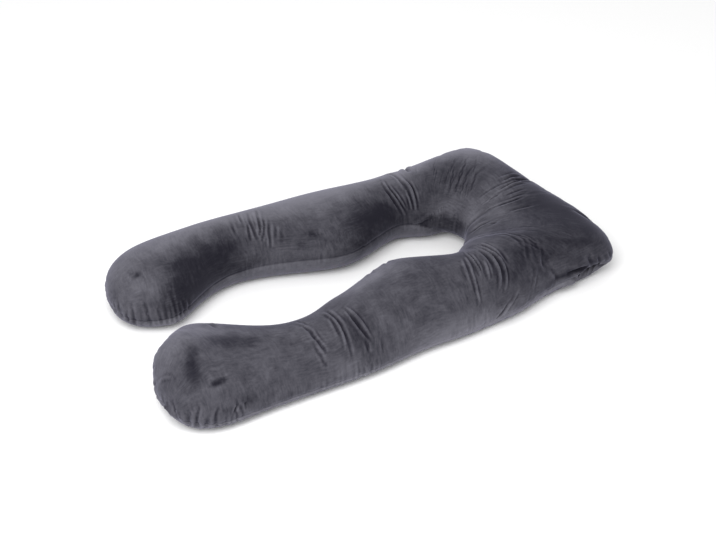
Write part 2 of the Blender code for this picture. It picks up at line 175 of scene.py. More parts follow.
SECOND_ARM_CREASES = (
    (15.02, 30, 14.92, 80, 0.009, 0.009),
    (16.09, 104, 15.89, 149, -0.005, 0.005, 0.06),
    (15.97, 86, 15.57, 163, -0.007, 0.005, 0.07),
    (16.05, 100, 15.84, 147, 0.003, 0.005, 0.04),
    (15.85, 99, 15.52, 152, -0.005, 0.005, 0.01),
    (15.92, 95, 15.53, 154, 0.0042, 0.005, 0.05),
    (15.58, 56, 15.27, 118, 0.0065, 0.006, -0.02),
    (15.28, 93, 14.98, 155, -0.008, 0.005, -0.06),
    (15.2, 113, 15.12, 152, 0.0035, 0.005),
    (15.23, 126, 15.18, 153, -0.004, 0.005),
    (15.08, 100, 14.91, 137, 0.0035, 0.005, -0.01),
    (19.1, 111, 19.22, 136, 0.003, 0.006),
    (19.13, 99, 19.34, 154, 0.004, 0.006, 0.04),
    (19.29, 124, 19.36, 150, -0.003, 0.005),
    (19.17, 74, 19.38, 122, 0.005, 0.005, 0.01),
    (19.24, 94, 19.4, 132, -0.004, 0.005, -0.01),
    (19.21, 99, 19.43, 139, 0.005, 0.005),
    (19.27, 80, 19.41, 125, -0.004, 0.005, 0.01),
    (19.34, 78, 19.47, 137, 0.006, 0.006, 0.04),
    (19.47, 100, 19.57, 134, 0.004, 0.005, 0.01),
    (19.48, 75, 19.56, 101, 0.004, 0.005),
    (19.68, 87, 19.74, 131, 0.003, 0.006, 0.02),
    (19.74, 107, 19.75, 135, -0.002, 0.006),
)
OUTER_SIDE_CREASES = (
    (12.08, 40, 12.2, 4, 0.003, 0.011),
    (12.85, 38, 12.95, 6, 0.006, 0.011),
    (13.3, 42, 13.42, 4, 0.008, 0.01),
    (13.66, 38, 13.72, 6, 0.006, 0.009),
    (16.9, 42, 16.94, 6, 0.007, 0.01),
    (18.35, 42, 18.3, 6, 0.007, 0.01),
    (20.1, 44, 20.14, 8, 0.006, 0.01),
)
INNER_SIDE_CREASES = (
    (8.6, 128, 8.8, 168, 0.006, 0.008),
    (11.0, 124, 11.0, 166, 0.003, 0.009),
    (15.23, 180, 14.12, 160, -0.005, 0.008),
    (14.2, 160, 12.3, 161, -0.003, 0.008),
)
DIMPLES = (
    (-0.14, 51, 0.04, 46, 0.005, 0.009),
    (22.34, 108, 22.1, 116, 0.006, 0.011),
    (18.46, 134, 18.68, 134, 0.004, 0.014),
)
CREASES = [Crease(*row) for row in (
    *FIRST_ARM_CREASES, *HEAD_BEND_CREASES, *HEAD_CREASES, *SECOND_ARM_CREASES,
    *OUTER_SIDE_CREASES, *INNER_SIDE_CREASES, *DIMPLES,
)]

# Families of shallow wrinkles: so many of them, spread evenly from the first line to the last.
Fan = namedtuple("Fan", "count first last depth width bow")
FANS = (
    Fan(4, (0.10, 20, 0.16, 6), (0.40, 22, 0.50, 8), 0.004, 0.006, 0.05),
    Fan(4, (1.45, 60, 1.62, 98), (2.15, 45, 2.30, 100), 0.0020, 0.008, 0.00),
    Fan(6, (3.45, 26, 3.50, 100), (5.20, 34, 5.40, 108), 0.0015, 0.008, 0.00),
    Fan(4, (7.90, 100, 7.15, 18), (8.60, 102, 7.70, 30), 0.0010, 0.008, -0.14),
    Fan(5, (6.60, 108, 8.60, 128), (8.00, 104, 10.20, 114), 0.0012, 0.008, 0.00),
    Fan(4, (11.00, 102, 10.98, 50), (11.85, 100, 11.75, 36), 0.0008, 0.007, 0.00),
    Fan(6, (12.10, 62, 12.20, 112), (14.40, 60, 14.30, 112), 0.0007, 0.009, 0.00),
    Fan(5, (16.20, 188, 16.90, 150), (17.20, 190, 17.90, 150), 0.0020, 0.008, 0.00),
    Fan(5, (18.88, 92, 19.18, 152), (19.90, 95, 20.12, 150), 0.0010, 0.007, 0.03),
)
FAN_UNEVENNESS = (0.10, 8.0, 0.4)     # how far lines stray along and round the roll, and in depth

# Puckers where the gathered seam draws the cloth in: where, at which seam, how many degrees they climb the
# top panel from it, how many sections they lean on the way, and how deep they are.
Pucker = namedtuple("Pucker", "along seam climb lean depth")
PUCKERS = [Pucker(*row) for row in (
    (-0.78, 180, -60, 0.05, 0.007),
    (-0.6, 180, -52, 0.04, 0.007),
    (-0.42, 180, -56, 0.05, 0.007),
    (-0.2, 180, -44, 0.04, 0.006),
    (0.1, 180, -26, 0.0, 0.005),
    (12.15, 0, 20, -0.05, 0.004),
    (12.6, 0, 30, -0.06, 0.006),
    (20.92, 180, -18, 0.06, 0.006),
    (21.08, 180, -26, 0.08, 0.008),
    (21.22, 180, -20, 0.08, 0.006),
    (21.37, 180, -38, 0.14, 0.008),
    (21.6, 180, -22, 0.08, 0.006),
    (21.82, 180, -30, 0.06, 0.007),
    (22.02, 180, -22, 0.05, 0.006),
    (22.17, 180, -34, 0.06, 0.007),
    (22.42, 180, -34, 0.02, 0.007),
    (22.65, 180, -46, 0.03, 0.007),
    (22.8, 180, -52, -0.04, 0.007),
    (21.95, 0, 26, 0.0, 0.005),
    (22.26, 0, 30, -0.02, 0.006),
    (22.5, 0, 36, -0.04, 0.006),
    (22.72, 0, 44, -0.04, 0.006),
)]

# Gathers that fan out round the end of a foot: which foot, where across its width (-1 at the outer seam, 1
# at the inner one), how far up its height they climb, how far they lean, and how deep they are.
Gather = namedtuple("Gather", "foot across climb lean depth")
GATHERS = [Gather(*row) for row in (
    (1, -0.94, 0.36, 0.02, 0.009),
    (1, -0.86, 0.14, 0.0, 0.01),
    (1, -0.73, 0.36, 0.0, 0.009),
    (1, -0.56, 0.18, -0.01, 0.009),
    (1, -0.36, 0.12, 0.02, 0.005),
    (1, -0.14, 0.24, 0.04, 0.004),
    (1, 0.08, 0.14, 0.0, 0.005),
    (1, 0.3, 0.3, -0.06, 0.005),
    (1, 0.5, 0.18, 0.02, 0.005),
    (1, 0.7, 0.34, -0.06, 0.005),
    (2, -0.5, 0.26, 0.04, 0.004),
    (2, -0.16, 0.24, 0.02, 0.004),
    (2, 0.2, 0.2, 0.0, 0.004),
    (2, 0.44, 0.3, -0.04, 0.004),
    (2, 0.66, 0.24, -0.03, 0.004),
)]

# Round the inside of the head the inner seam turns under: the place along, and how many degrees below the
# widest line it lies there.
SEAM_DIPS = (
    (8.0, 0), (8.7, 25), (9.5, 45), (12.0, 50), (12.6, 36), (13.2, 20), (13.9, 9), (14.8, 2), (15.3, 0),
)

# Broad places where the filling stands out or sinks in: where, how large (metres along and round the roll),
# and how high.
Swell = namedtuple("Swell", "along girth length breadth height")
SWELLS = [Swell(*row) for row in (
    (-0.45, 148, 0.04, 0.05, 0.008),
    (-0.86, 10, 0.045, 0.055, 0.01),
    (0.05, -10, 0.06, 0.04, 0.005),
    (-0.45, -12, 0.04, 0.04, -0.003),
    (0.3, 130, 0.07, 0.05, 0.005),
    (2.9, 132, 0.05, 0.05, 0.006),
    (3.2, -4, 0.12, 0.04, 0.003),
    (5.35, 115, 0.1, 0.05, 0.007),
    (9.45, -4, 0.045, 0.035, 0.007),
    (9.03, -13, 0.028, 0.04, -0.027),
    (8.72, -24, 0.03, 0.03, -0.006),
    (10.8, 44, 0.11, 0.05, 0.007),
    (11.95, 50, 0.05, 0.05, 0.007),
    (17.6, 58, 0.28, 0.06, 0.004),
)]

# Where creases run aslant, the rings of points lean with them: the place along, and how many sections a ring
# leans there for each degree round the roll.
RING_LEANS = (
    (4.5, 0.0), (5.7, 0.0080), (7.4, 0.0090), (9.0, 0.0),
    (14.2, 0.0), (15.1, -0.0065), (15.8, -0.0060), (16.8, 0.0),
)

# ---- How the folds are shaped and how finely the cloth is divided -----------------------------------
SEAM_REACH = 0.006        # half width of the groove that the seam makes
FOLD_LIP = 1.2            # how strongly the cloth rises on both sides of a crease
FOLD_FALL = 0.7           # how fast a crease dies away sideways
FOLD_END = 0.7            # how soon it fades towards its ends: less is later
FOLD_REACH = 4.0          # widths to each side that a fold moves
PUCKER_WIDTH = 0.007
PUCKER_UNDER = 0.4        # how far a pucker runs on under its seam, as a share of its climb
PUCKER_START = 0.3        # how far through its rise and fall it is there
SHARE = np.linspace(0.0, 1.0, 33)   # points read along one fold, as shares of its length
# How far up a pucker each of them lies, and how full the pucker is there.
CLIMB = SHARE * (1.0 + PUCKER_UNDER) - PUCKER_UNDER
PUCKER_FADE = np.sin(math.pi * (PUCKER_START + (1.0 - PUCKER_START) * SHARE)) ** FOLD_END
OPEN_STEP = 0.0090        # between rings where the cloth is smooth
CREASED_STEP = 0.0040     # between rings where it is creased
CREASE_MARGIN = 0.05      # sections of close rings past each crease
STEP_BLEND = 0.020        # metres over which one spacing turns into the other
TOP_DIVISIONS = 44        # round the top panel, closer towards both seams
UNDER_DIVISIONS = 24
TOP_CROWDING = 0.5        # how much closer the points are at the seams
UNDER_CROWDING = 0.6
CLOSE_STEP = 0.0065       # rings nearer to each other than this are divided once more at the end
FINER_ALONG = 2           # rings of the finished cover for each close ring of the simulated cloth
FINER_ROUND = 1.5         # points round it, for each simulated one
NUDGE_ALONG = 0.01        # small steps that find the outward direction
NUDGE_GIRTH = 0.5
READINGS = 6001           # fine readings along the roll
SPACING_GIRTHS = (60.0, 120.0)   # lines along it on which the spacing of the rings is measured
SEARCH_ROUNDS = 8         # tries at finding the ring through a place
SMALLEST = 1e-6           # keeps a length from being zero
SHARP_FOLD = 160.0        # curvature, in 1/m, that counts as a sharp fold
FOLD_BLUR = 0.8           # rings over which that is averaged
SEAM_SHADE = 0.25         # painted shade: how much darker the colour is made in the seam's groove
CROWN_ARC = 0.42          # metres of cloth over the top, from seam to seam

# ---- The cloth simulation ---------------------------------------------------------------------------
PATTERN_MARGIN = 0.050    # how far the flat panels' edges lie outside the filled outline
RIPPLE_LENGTHS = (0.014, 0.019, 0.027, 0.041)   # metres between the fine gathers along a seam
RIPPLE_REACH = 0.026      # how far from the seam they run
RIPPLE_START = 0.0010     # their height before the cloth settles, in metres
RIPPLE_CLOTH = 0.0045     # the height that their spare cloth would give
CREASE_START = 0.4        # the same two for creases and puckers, as shares of their depth
CREASE_CLOTH = 1.2
PUCKER_CLOTH = 1.8
CREASE_PRESSED = 0.6      # share of a crease's depth that is pressed in once the cloth has settled
RIPPLE_INNER = 0.4        # height of the gathers at the inner seam, next to the outer one's
RIPPLE_TOE = 2.0          # and at the tip of the first foot
FRAMES = 20
FORM_LENGTH = 0.045       # metres over which a bulge counts as broad, and is taken off again
FORM_STEP = 0.005         # even steps along the roll, in metres, in which bulges are measured
FORM_ROUND = 0.010        # and round it
MOST_MOVE = 0.028         # cap on how far a point may move
# How firmly the filling holds the cloth, and how far from a seam it does so fully, on top and underneath.
CROWN_HOLD = (0.02, 0.15)
UNDER_HOLD = (0.40, 0.08)

# ---- The pile ---------------------------------------------------------------------------------------
UNDER_PILE_AND_BOUNCE_LIGHT = 0.6          # the under panel is made lighter: partly its pile lying the other way, partly painted light bounced up from the floor
PATCH_WOBBLE = 0.0035    # how far the edges of a patch wander, in metres
BRUSHING = 1.05           # how strongly the brushed streaks, the blotches and the tufts show
BLOTCHES = 1.05
TUFTS = 0.45
STREAK_SIZE = (0.007, 0.036)   # metres across and along one brushed streak
STREAK_PATCH = 0.11       # metres across a patch that is brushed one way
STREAK_TURNS = (0.40, 0.62)    # between these noise levels one way of brushing turns into the other
STREAK_BEND = 0.022       # metres that streaks are bent aside, every so many metres
BEND_SIZE = 0.055
BLOTCH_SIZE = 0.040
TUFT_SIZE = 0.007
PILE_SIZE = 0.0022        # drawn a little coarser than the real 1.5 mm pile, so that it shows
MARK_EDGE = (0.15, 1.35)  # a mark is full inside the first share of its size and gone past the second
DARKEST = 0.18            # levels of the pile that look darkest and lightest
LIGHTEST = 3.20

# Patches of darker and lighter colour, mostly pile stroked one way or the other, with some painted shade and
# painted highlights, marked below: where, how large (metres along and round the roll), how strongly, how
# crisp the patch's edge is, and how many degrees it is turned.
PileAndLightPatch = namedtuple("PileAndLightPatch", "along girth length breadth tone edge turn", defaults=(1.0, 0))
PILE_AND_LIGHT_PATCHES = [PileAndLightPatch(*row) for row in (
    (0.15, 122, 0.11, 0.05, 0.5),
    (-0.28, 70, 0.026, 0.048, -0.8, 1.2, -20),
    (-0.75, 80, 0.05, 0.12, -0.15),
    (0.75, 84, 0.07, 0.022, -0.75),
    (1.55, 124, 0.12, 0.035, -0.5),
    (0.26, 15, 0.03, 0.012, -0.43, 1.0, 10),
    (0.4, 106, 0.06, 0.02, 0.3),
    (2.95, 45, 0.06, 0.08, -0.45, 1.2),
    (2.55, 11, 0.065, 0.045, 0.5),
    (3.32, 60, 0.02, 0.045, 0.3),
    (3.7, 124, 0.09, 0.035, 0.6),
    (4.6, 8, 0.14, 0.04, 0.45),
    (5.4, -14, 0.28, 0.035, 0.9),
    (5.6, 4, 0.11, 0.03, 0.55),
    (5.45, 124, 0.11, 0.055, -0.95),
    (4.9, 70, 0.12, 0.06, -0.15),
    (7.1, 45, 0.09, 0.09, -0.4),
    (8.4, 116, 0.11, 0.04, -0.4),
    (9.4, 70, 0.19, 0.07, -0.45, 2.6, 10),
    (9.2, 28, 0.1, 0.04, -0.2, 1.2),
    # Painted shade on the head's far flank.
    (10.6, 40, 0.12, 0.11, -0.95, 1.2),
    (11.5, 52, 0.1, 0.07, -0.8, 1.2),
    (10.6, 114, 0.05, 0.03, 0.25),
    (10.5, 168, 0.08, 0.03, -0.6),
    (11.35, 96, 0.05, 0.075, 0.35),
    (11.3, 145, 0.12, 0.05, 0.45),
    (12.8, 104, 0.12, 0.055, -0.4, 1.2),
    (14.8, 138, 0.11, 0.05, -0.35),
    # Painted shadow on the keyhole's inner wall, under the overhanging top.
    (12.1, 172, 0.12, 0.022, -0.45, 1.8),
    (12.3, 197, 0.17, 0.04, -0.5, 1.2),
    (13.2, 158, 0.06, 0.035, 0.4),
    (16.9, 158, 0.14, 0.085, -0.8, 2.4, -6),
    (16.9, 122, 0.09, 0.055, -0.4, 1.2),
    (15.85, 152, 0.03, 0.04, 0.35),
    (18.95, 160, 0.08, 0.04, 0.2, 1.4),
    (20.65, 150, 0.13, 0.095, -0.85, 2.6),
    (19.9, 125, 0.05, 0.06, -0.4, 1.2),
    (21.8, 131, 0.045, 0.04, 0.55, 1.2),
    (21.6, 196, 0.09, 0.03, 0.8),
    (22.35, 110, 0.06, 0.12, 0.3),
    (16.9, 196, 0.11, 0.03, -0.4),
    (20.6, 196, 0.12, 0.03, -0.4),
    # Painted highlight along the second arm's top outer edge, where the pile is seen edge on.
    (18.6, 74, 0.45, 0.06, 0.9, 1.6),
    (20.8, 68, 0.2, 0.06, 0.5),
    (12.85, 60, 0.11, 0.045, 1.1, 1.2),
    (14.9, 66, 0.1, 0.045, 0.4, 1.2),
    (-0.45, 128, 0.07, 0.08, 0.25),
    (3.3, 121, 0.07, 0.03, 0.25),
    # Lighter strip along the first arm's low edge: partly the under panel's pile, partly painted light
    # bounced up from the floor.
    (3.6, -3, 0.76, 0.015, 0.45, 2.4),
    # Painted shadow in the seam and the hollow at the head's corner.
    (8.58, 10, 0.05, 0.009, -1.1),
    (8.95, -14, 0.07, 0.024, -0.9, 1.2),
    (8.45, -14, 0.025, 0.012, 0.6, 1.0, 20),
    (13.8, 73, 0.03, 0.035, -0.45),
    (15.3, 80, 0.035, 0.04, 0.35),
    (16.6, 62, 0.06, 0.025, -0.45),
    (17.85, 151, 0.04, 0.04, 0.35),
    (18.95, 151, 0.055, 0.04, -0.35),
    (21.35, 116, 0.06, 0.045, -0.25),
    # Painted shade on the head's far flank.
    (11.5, 44, 0.07, 0.03, -0.5),
    # Painted shadow on the keyhole's inner wall, under the overhanging top.
    (14.2, 172, 0.07, 0.028, -0.5),
    (22.35, 194, 0.09, 0.034, -0.55, 1.4),
    (4.4, 116, 0.13, 0.04, 0.45),
    (7.0, 106, 0.05, 0.035, 0.4),
    (8.45, 105, 0.06, 0.03, -0.4),
    (12.15, 52, 0.06, 0.035, 0.6),
    # Painted highlight along the second arm's top outer edge, where the pile is seen edge on.
    (17.1, 64, 0.26, 0.035, 0.6, 1.6),
    (19.8, 176, 0.04, 0.035, -0.6),
)]

# Small darker marks laid on the three dimples, with edges crisper than the patches'.
Mark = namedtuple("Mark", "along girth length breadth turn tone")
MARKS = (
    Mark(-0.08, 42, 0.026, 0.0090, 7, -0.95),
    Mark(22.22, 113, 0.019, 0.010, 24, -0.50),
    Mark(18.60, 138, 0.028, 0.023, 0, -0.45),
)


def section_bends():
    """Second differences of the natural cubic spline through the table of sections."""
    count = len(SECTIONS)
    system = np.eye(count)
    for row in range(1, count - 1):
        system[row, row - 1:row + 2] = 1.0, 4.0, 1.0
    change = np.zeros_like(SECTIONS)
    change[1:-1] = 6.0 * (SECTIONS[2:] - 2.0 * SECTIONS[1:-1] + SECTIONS[:-2])
    return np.linalg.solve(system, change)


BENDS = section_bends()
# How the sections change, for each one gone along, at the first end of the roll and at the second.
END_RUNS = (
    SECTIONS[1] - SECTIONS[0] - BENDS[1] / 6.0,
    SECTIONS[-1] - SECTIONS[-2] + BENDS[-2] / 6.0,
)


def smooth_sections(along):
    """Sections at any places along the roll, on the spline through the table."""
    start = np.clip(along.astype(int), 0, LAST - 1)
    part = (along - start)[:, None]
    rest = 1.0 - part
    straight = rest * SECTIONS[start] + part * SECTIONS[start + 1]
    return straight + ((rest ** 3 - rest) * BENDS[start] + (part ** 3 - part) * BENDS[start + 1]) / 6.0


def superellipse(angle, fullness):
    """Cosine and sine of an angle, pushed out towards a rounded box."""
    cosine, sine = np.cos(angle), np.sin(angle)
    push = 2.0 / fullness
    return np.sign(cosine) * np.abs(cosine) ** push, np.abs(sine) ** push


def roll_surface(along, girth):
    """Points of the plain filled roll, for arrays of places along it and angles round it."""
    inside = np.clip(along, 0.0, LAST)
    sections = smooth_sections(inside)
    middle = (sections[:, 0:2] + sections[:, 2:4]) / 2.0 - MIDDLE_SHIFT
    # Past the last section at either foot the outline closes in a rounded toe, which starts the way the roll
    # ends, so that no edge shows where they meet.
    first_toe = along < 0.0
    past = np.abs(along - inside)
    toe_angle = (1.0 - past) * math.pi / 2.0
    reach, spread = superellipse(toe_angle, FOOT_FULLNESS)
    rise = np.sin(toe_angle)
    toe = np.where(first_toe, FIRST_TOE, SECOND_TOE)
    run = np.where(first_toe[:, None], *END_RUNS)
    pace = np.linalg.norm(run[:, 0:2] + run[:, 2:4], axis=1) / 2.0
    sections += run * (toe * math.pi / 2.0 / pace * (along - inside) * (1.0 - past) ** 2)[:, None]
    half = (sections[:, 0:2] - sections[:, 2:4]) / 2.0
    crown, outer_seam, inner_seam = sections[:, 4], sections[:, 5], sections[:, 6]
    forward = (run[:, 0:2] + run[:, 2:4]) / 2.0 / pace[:, None]
    forward *= (np.where(first_toe, -toe, toe) * reach)[:, None]
    # Round the roll: the top panel arches over, the under panel spreads on the surface.
    angle = np.radians(girth)
    over = np.sin(angle) >= 0.0
    top_across, top_lift = superellipse(angle, TOP_FULLNESS)
    under_across, under_lift = superellipse(angle, UNDER_FULLNESS)
    across = np.where(over, top_across, under_across)
    toe_seam = (outer_seam + inner_seam) / 2.0
    tilt = (outer_seam - inner_seam) / 2.0 * rise
    seam = toe_seam + tilt * across
    top = seam + (crown - seam) * rise * top_lift
    under = seam - (seam + SETTLE) * rise * under_lift
    plan = middle + half * (across * spread)[:, None] + forward
    return np.column_stack([plan, np.where(over, top, under)])


def long_line(girth):
    """Points of the plain roll along its whole length, at one angle round it."""
    return roll_surface(PLACES, np.full(READINGS, girth))


def metres_gone(line):
    """Metres gone along a line of points, at each of them."""
    return np.concatenate([[0.0], np.cumsum(np.linalg.norm(np.diff(line, axis=0), axis=1))])


PLACES = np.linspace(-1.0, LAST + 1.0, READINGS)
CROWN_METRES = metres_gone(long_line(90.0))


def crown_metres(along):
    """Metres gone along the crown, from the tip of the first toe."""
    return np.interp(along, PLACES, CROWN_METRES)


def round_metres(girth):
    """Metres of cloth gone round the roll, from the outer seam."""
    return girth / 180.0 * CROWN_ARC


def round_gap(across, girth):
    """Metres from an angle to places round the roll, the shorter way."""
    return np.mod(across - round_metres(girth) + CROWN_ARC, 2.0 * CROWN_ARC) - CROWN_ARC


def outward_directions(along, girth):
    """Unit directions that point out of the cloth."""
    along = np.clip(along, -1.0 + NUDGE_ALONG, LAST + 1.0 - NUDGE_ALONG)
    ahead = roll_surface(along + NUDGE_ALONG / 2.0, girth) - roll_surface(along - NUDGE_ALONG / 2.0, girth)
    round_it = roll_surface(along, girth + NUDGE_GIRTH) - roll_surface(along, girth - NUDGE_GIRTH)
    outward = np.cross(ahead, round_it)
    return outward / np.linalg.norm(outward, axis=1)[:, None]


def fold(points, push, line, fade, depth, width):
    """Moves the cloth near a line into a trough with a raised lip on each side."""
    reach = FOLD_REACH * width
    boxed = (points > line.min(axis=0) - reach) & (points < line.max(axis=0) + reach)
    near = np.flatnonzero(boxed.all(axis=1))
    if not len(near):
        return
    gap = np.linalg.norm(points[near, None, :] - line[None, :, :], axis=2)
    nearest = gap.argmin(axis=1)
    off = gap.min(axis=1) / width
    push[near] -= depth * fade[nearest] * (1.0 - FOLD_LIP * off ** 2) * np.exp(-FOLD_FALL * off ** 2)


def add_crease(points, push, crease):
    """A crease, which fades out towards both ends."""
    bowed = crease.bow * 4.0 * SHARE * (1.0 - SHARE)
    along = crease.from_along + (crease.to_along - crease.from_along) * SHARE + bowed
    girth = crease.from_girth + (crease.to_girth - crease.from_girth) * SHARE
    fade = np.sin(math.pi * SHARE) ** FOLD_END
    fold(points, push, roll_surface(along, girth), fade, crease.depth, crease.width)


def fan_creases():
    """The wrinkles of every fan, each a little out of line."""
    random = np.random.default_rng(11)
    astray, aside, uneven = FAN_UNEVENNESS
    wrinkles = []
    for fan in FANS:
        for share in np.linspace(0.0, 1.0, fan.count):
            first, last = np.array(fan.first), np.array(fan.last)
            line = first + (last - first) * share
            line += random.uniform(-1.0, 1.0, 4) * (astray, aside, astray, aside)
            depth = fan.depth * (1.0 + random.uniform(-uneven, uneven))
            wrinkles.append(Crease(*line, depth, fan.width, fan.bow))
    return wrinkles


def add_pucker(points, push, pucker):
    """A pucker, which starts just under the seam and fades out as it climbs the top panel."""
    line = roll_surface(pucker.along + pucker.lean * SHARE, pucker.seam + pucker.climb * CLIMB)
    fold(points, push, line, PUCKER_FADE, pucker.depth, PUCKER_WIDTH)


def add_gather(points, push, gather):
    """A gather on a foot, which starts just under the seam and fades out as it climbs the rounded toe."""
    up = gather.climb * CLIMB
    side = gather.across + gather.lean * SHARE
    past = 1.0 - np.arcsin(np.minimum(np.hypot(side, up), 1.0)) * 2.0 / math.pi
    along = -past if gather.foot == 1 else LAST + past
    line = roll_surface(along, np.degrees(np.arctan2(up, -side)))
    fold(points, push, line, PUCKER_FADE, gather.depth, PUCKER_WIDTH)


def crease_push(points):
    """How far all the creases move each point."""
    push = np.zeros(len(points))
    for crease in (*CREASES, *fan_creases()):
        add_crease(points, push, crease)
    return push


def nearest_gaps(points, others):
    """Distance from each point to the nearest of the others."""
    tree = KDTree(len(others))
    for number, point in enumerate(others):
        tree.insert(point, number)
    tree.balance()
    return np.array([tree.find(point)[2] for point in points])


def ring_slope(along):
    """How far a ring leans at each place: sections for each degree round the roll."""
    return np.interp(along, *zip(*RING_LEANS))


def past_crown(girth):
    """Degrees past the crown towards the inner seam, the same on the under panel as above it."""
    turned = np.mod(girth, 360.0)
    return np.where(turned > 180.0, 360.0 - turned, turned) - 90.0


def upright(along, girth):
    """The place on the crown of the ring that passes through a place on the cloth."""
    crown = along
    for _ in range(SEARCH_ROUNDS):
        crown = along - ring_slope(crown) * past_crown(girth)
    return float(crown)


def ring_places():
    """Places along the roll of the rings of points: close together where the cloth is creased."""
    sides = [np.diff(long_line(girth), axis=0) for girth in SPACING_GIRTHS]
    length = np.mean([np.linalg.norm(side, axis=1) for side in sides], axis=0)
    step = np.full(len(length), OPEN_STEP)
    lines = [crease[:4] for crease in CREASES]
    lines += [(pucker.along, pucker.seam, pucker.along + pucker.lean, pucker.seam) for pucker in PUCKERS]
    for from_along, from_girth, to_along, to_girth in lines:
        low, high = sorted((upright(from_along, from_girth), upright(to_along, to_girth)))
        step[(PLACES[:-1] > low - CREASE_MARGIN) & (PLACES[1:] < high + CREASE_MARGIN)] = CREASED_STEP
    step = soft_mean(step, STEP_BLEND / length.mean(), 0, False)
    count = np.concatenate([[0.0], np.cumsum(length / step)])
    rings = math.ceil(count[-1])
    return np.interp(np.linspace(0.0, count[-1], rings + 1), count, PLACES)


def pile_and_painted_light(along, girth):
    """How light or dark the colour is at each place, from the table of patches: mostly the pile's own
    patches, with painted shade and painted highlights among them, and the under panel lighter.
    """
    here, across = crown_metres(along), round_metres(girth)
    # Long and short waves in both directions, so that no patch has a plain oval edge.
    wander = np.sin(95.0 * across + 31.0 * here) + 0.6 * np.sin(210.0 * across - 83.0 * here)
    here = here + PATCH_WOBBLE * wander
    wander = np.sin(88.0 * here + 1.0) + 0.6 * np.sin(190.0 * here + 60.0 * across)
    across = across + PATCH_WOBBLE * wander
    # The under panel is lighter: partly its pile lying the other way, partly painted light bounced up from
    # the floor.
    tone = np.where(np.mod(girth, 360.0) > 180.0 + seam_dip(along), UNDER_PILE_AND_BOUNCE_LIGHT, 0.0)
    for patch in PILE_AND_LIGHT_PATCHES:
        length, breadth = here - crown_metres(patch.along), round_gap(across, patch.girth)
        turn = math.radians(patch.turn)
        run = (length * math.cos(turn) + breadth * math.sin(turn)) / patch.length
        rise = (breadth * math.cos(turn) - length * math.sin(turn)) / patch.breadth
        tone += patch.tone * np.exp(-(run ** 2 + rise ** 2) ** patch.edge)
    return tone


def seam_dip(along):
    """Degrees that the inner seam lies below the widest line at each place."""
    return np.interp(along, *zip(*SEAM_DIPS))


def swelling(along, girth):
    """How far the filling stands out at each place, from the table of swells."""
    here, across = crown_metres(along), round_metres(girth)
    height = np.zeros(len(along))
    for swell in SWELLS:
        run = (here - crown_metres(swell.along)) / swell.length
        rise = round_gap(across, swell.girth) / swell.breadth
        height += swell.height * np.exp(-run ** 2 - rise ** 2)
    return height


def crowded(count, crowding):
    """Shares from 0 to 1 that lie closer together towards both ends."""
    share = np.linspace(0.0, 1.0, count, endpoint=False)
    return share - crowding * np.sin(2.0 * math.pi * share) / (2.0 * math.pi)


def ring_faces(rings, around):
    """Quads between rings of points, and a fan to a point at the tip of each toe."""
    ring, step = np.meshgrid(np.arange(rings - 1), np.arange(around), indexing="ij")
    beside = (step + 1) % around
    quads = np.stack([
        ring * around + step, (ring + 1) * around + step,
        (ring + 1) * around + beside, ring * around + beside,
    ], axis=-1).reshape(-1, 4).tolist()
    first, last, end = rings * around, rings * around + 1, (rings - 1) * around
    fans = [(first, here, (here + 1) % around) for here in range(around)]
    fans += [(last, end + (here + 1) % around, end + here) for here in range(around)]
    return quads + fans


def mesh_of(name, points, faces):
    """A mesh of points and faces."""
    mesh = bpy.data.meshes.new(name)
    mesh.from_pydata(points.tolist(), [], faces)
    mesh.update()
    return mesh


def put_in_scene(name, data):
    """A new object in the scene."""
    thing = bpy.data.objects.new(name, data)
    bpy.context.scene.collection.objects.link(thing)
    return thing


def seam_ripples(along, girth, gaps):
    """Fine irregular gathers along both seams, from -1 to 1, which fade away from the seam."""
    random = np.random.default_rng(5)
    ripples = np.zeros(len(along))
    for seam in (0.0, 180.0):
        place = np.interp(along, PLACES, metres_gone(long_line(seam)))
        waves = sum(
            np.sin(2.0 * math.pi * (place / length + random.uniform())) for length in RIPPLE_LENGTHS
        ) / 2.0
        height = RIPPLE_INNER if seam else 1.0
        waves = waves * (height + (RIPPLE_TOE - height) * np.clip(-along, 0.0, 1.0))
        ripples += waves * (np.abs(np.mod(girth - seam + 180.0, 360.0) - 180.0) < 90.0)
    return ripples * np.exp(-(gaps / RIPPLE_REACH) ** 2)


def settle_cloth(start, pattern, faces, hold):
    """Lets the cloth settle on its filling from its first shape, with its flat pattern's edge lengths."""
    mesh = mesh_of("settling_cloth", start, faces)
    cloth = put_in_scene("settling_cloth", mesh)
    cloth.shape_key_add(name="Basis")
    cut = cloth.shape_key_add(name="Pattern")
    cut.data.foreach_set("co", pattern.astype(np.float32).ravel())
    cut.value = 0.0
    held = cloth.vertex_groups.new(name="hold")
    for point, weight in enumerate(hold.tolist()):
        held.add([point], weight, "REPLACE")
    modifier = cloth.modifiers.new("Cloth", "CLOTH")
    settings = modifier.settings
    settings.quality = 6
    settings.mass = 0.25
    settings.tension_stiffness = settings.compression_stiffness = 20.0
    settings.shear_stiffness = 8.0
    settings.bending_stiffness = 0.15
    settings.use_pressure = True
    settings.uniform_pressure_force = 3.5
    settings.vertex_group_mass = "hold"
    settings.rest_shape_key = cut
    settings.effector_weights.gravity = 0.0
    modifier.point_cache.frame_start = 1
    modifier.point_cache.frame_end = FRAMES
    scene = bpy.context.scene
    for number in range(1, FRAMES + 1):
        scene.frame_set(number)
    settled = cloth.evaluated_get(bpy.context.evaluated_depsgraph_get()).data
    found = np.empty(len(settled.vertices) * 3, dtype=np.float32)
    settled.vertices.foreach_get("co", found)
    bpy.data.objects.remove(cloth)
    bpy.data.meshes.remove(mesh)
    scene.frame_set(1)
    return found.reshape(-1, 3).astype(float)


